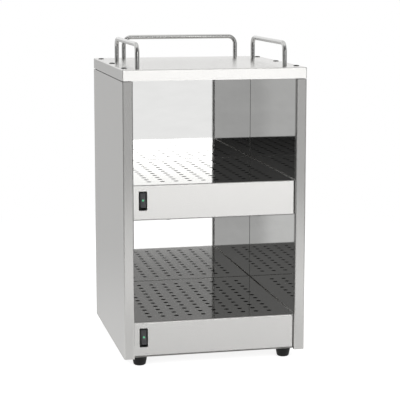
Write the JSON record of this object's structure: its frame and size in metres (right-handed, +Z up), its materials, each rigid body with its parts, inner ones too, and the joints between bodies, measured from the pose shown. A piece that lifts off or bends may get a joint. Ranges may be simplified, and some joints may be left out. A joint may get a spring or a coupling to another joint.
{
  "type": "two-deck countertop cup warmer",
  "caption": "Countertop cup warmer: an open-fronted folded-steel cabinet with perforated heated decks, a switch on each deck's front, and rails round the lid.",
  "frame": {"origin": "on the floor plane under the feet, below the middle of the body", "axes": "+Z up; +Y from the open front to the back; +X to the right as seen from the front"},
  "size_m": [0.32, 0.33, 0.557],
  "materials": {
    "brushed_shell": "fine-brushed stainless sheet",
    "polished_liner": "mirror-polished stainless sheet",
    "polished_bar": "polished stainless bar",
    "plain_steel": "plain mill-finish stainless sheet",
    "zinc_fastener": "bright zinc plate",
    "dark_fastener": "black oxide",
    "element_sheath": "dull heat-darkened sheath",
    "tinned_brass": "tinned brass",
    "black_rubber": "matte black rubber",
    "switch_black": "glossy black polyamide",
    "lens_green": "translucent green",
    "phenolic_black": "moulded phenolic",
    "block_white": "natural polyamide",
    "loom_grey": "grey silicone sheath",
    "lead_white": "glass-fibre sleeved silicone",
    "gland_black": "matte black polyamide"
  },
  "bodies": {
    "cabinet": {"left_side_panel": "brushed_shell", "right_side_panel": "brushed_shell", "left_inner_wall": "polished_liner", "right_inner_wall": "polished_liner", "back_panel": "polished_liner", "top_lid": "brushed_shell", "base_plate": "plain_steel", "upper_shelf": "brushed_shell", "lower_shelf": "brushed_shell", "left_shelf_ledge": "plain_steel", "right_shelf_ledge": "plain_steel", "upper_heater_pan": "plain_steel", "upper_heating_element": "element_sheath", "upper_element_clips": "plain_steel", "upper_thermostat": "phenolic_black", "upper_thermostat_rivets": "zinc_fastener", "upper_switch_housing": "switch_black", "upper_switch_terminals": "tinned_brass", "upper_element_leads": "lead_white", "lower_heating_element": "element_sheath", "lower_element_clips": "plain_steel", "lower_thermostat": "phenolic_black", "lower_thermostat_rivets": "zinc_fastener", "lower_switch_housing": "switch_black", "lower_switch_terminals": "tinned_brass", "lower_element_leads": "lead_white", "lower_supply_loom": "loom_grey", "upper_supply_loom": "loom_grey", "loom_grommets": "black_rubber", "terminal_block": "block_white", "earth_stud": "zinc_fastener", "earth_nut": "tinned_brass", "cable_gland": "gland_black", "gland_nut": "gland_black", "left_rail": "polished_bar", "right_rail": "polished_bar", "rear_rail": "polished_bar", "rail_washers": "zinc_fastener", "rail_nuts": "zinc_fastener", "front_left_foot": "black_rubber", "front_right_foot": "black_rubber", "rear_left_foot": "black_rubber", "rear_right_foot": "black_rubber", "foot_screws": "zinc_fastener", "foot_nuts": "zinc_fastener", "base_screws": "zinc_fastener", "base_nuts": "zinc_fastener", "lid_screws": "dark_fastener", "lid_nuts": "zinc_fastener", "back_screws": "zinc_fastener", "back_nuts": "zinc_fastener", "pan_screws": "zinc_fastener", "pan_nuts": "zinc_fastener", "fascia_screws": "zinc_fastener", "fascia_nuts": "zinc_fastener"},
    "upper_switch": {"upper_rocker": "switch_black", "upper_rocker_lens": "lens_green"},
    "lower_switch": {"lower_rocker": "switch_black", "lower_rocker_lens": "lens_green"}
  },
  "joints": [
    {"name": "upper_rocker_pivot", "type": "hinge", "parent": "cabinet", "child": "upper_switch", "pos_m": [-0.1248, -0.1503, 0.29], "axis": [1, 0, 0], "range_deg": [0, 16]},
    {"name": "lower_rocker_pivot", "type": "hinge", "parent": "cabinet", "child": "lower_switch", "pos_m": [-0.1248, -0.1503, 0.052], "axis": [1, 0, 0], "range_deg": [0, 16]}
  ]
}
